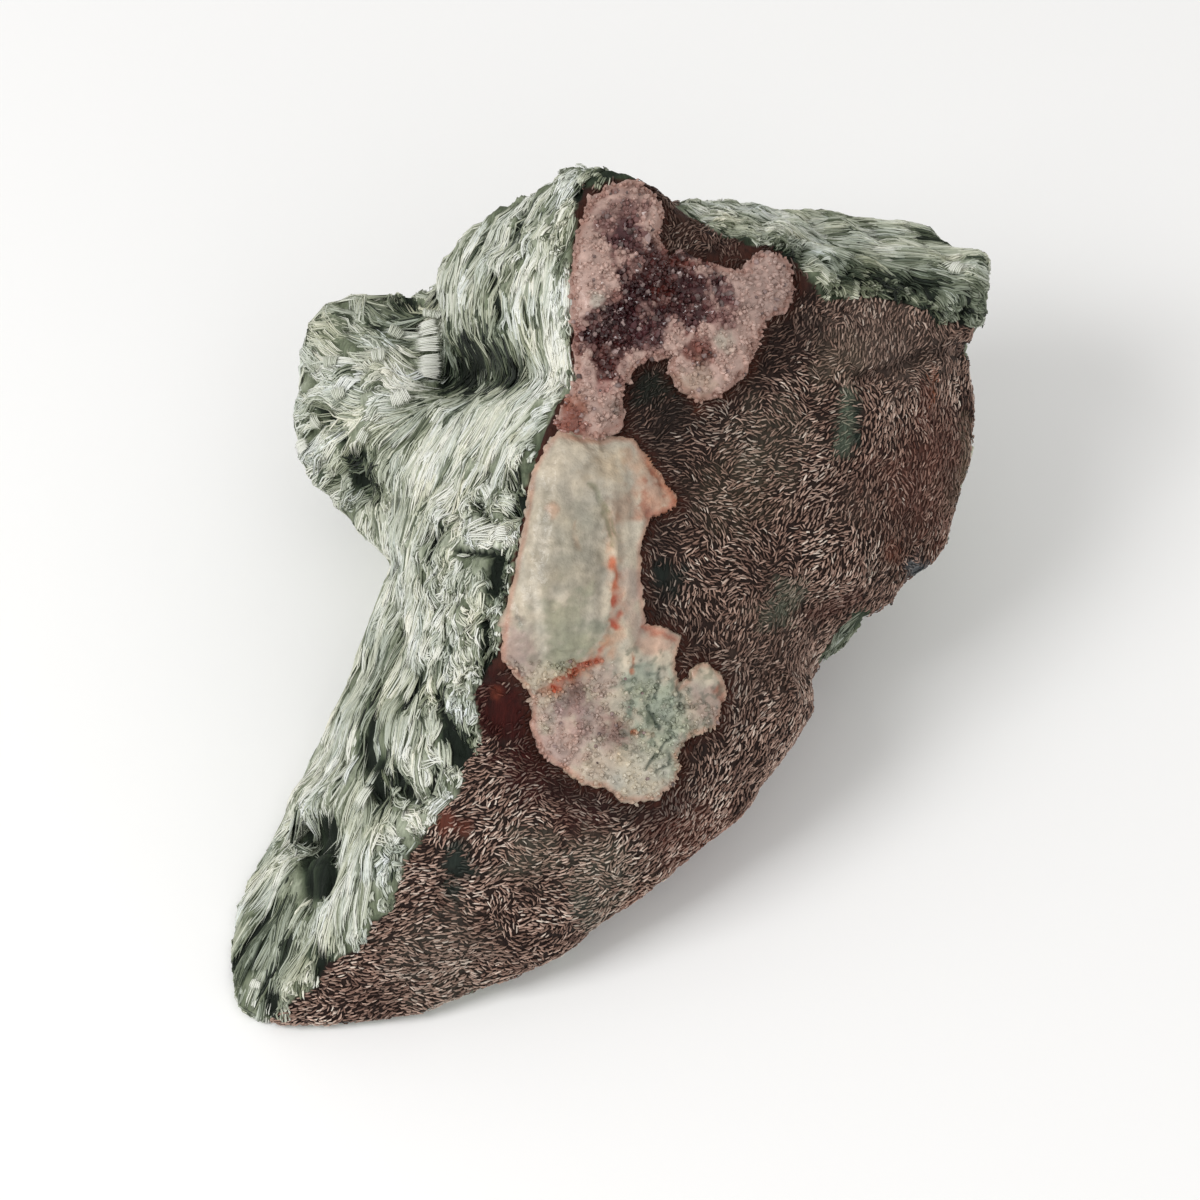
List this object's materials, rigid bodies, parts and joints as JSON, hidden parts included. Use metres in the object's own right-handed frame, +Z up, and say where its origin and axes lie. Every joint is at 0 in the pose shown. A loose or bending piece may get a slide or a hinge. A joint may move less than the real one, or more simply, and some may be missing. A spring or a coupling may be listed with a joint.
{
  "type": "seraphinite specimen",
  "caption": "Hand-sized chunk of feathery green seraphinite with a brown skin, a rose druse and a cream calcite crust, lying on a flat underside.",
  "frame": {"origin": "a point on the flat underside that the stone rests on, under the middle of the brown skin", "axes": "+Z up from the table; the brown skin and the green left side face -Y, the flat green top face is at +X +Y"},
  "size_m": [0.1023, 0.107, 0.0695],
  "materials": {
    "chlorite": "fibrous silvery green chlorite with a satin shimmer, and a matt brown skin of small worm-shaped grains",
    "rose_druse": "sparkling small crystals, pinkish white at the rim and dark purple in the hollow",
    "cream_calcite": "waxy cream crust with rust-orange veins and greenish lobes"
  },
  "bodies": {
    "root": {"seraphinite": "chlorite", "rose_druse": "rose_druse", "calcite_tongue": "cream_calcite"}
  },
  "joints": []
}
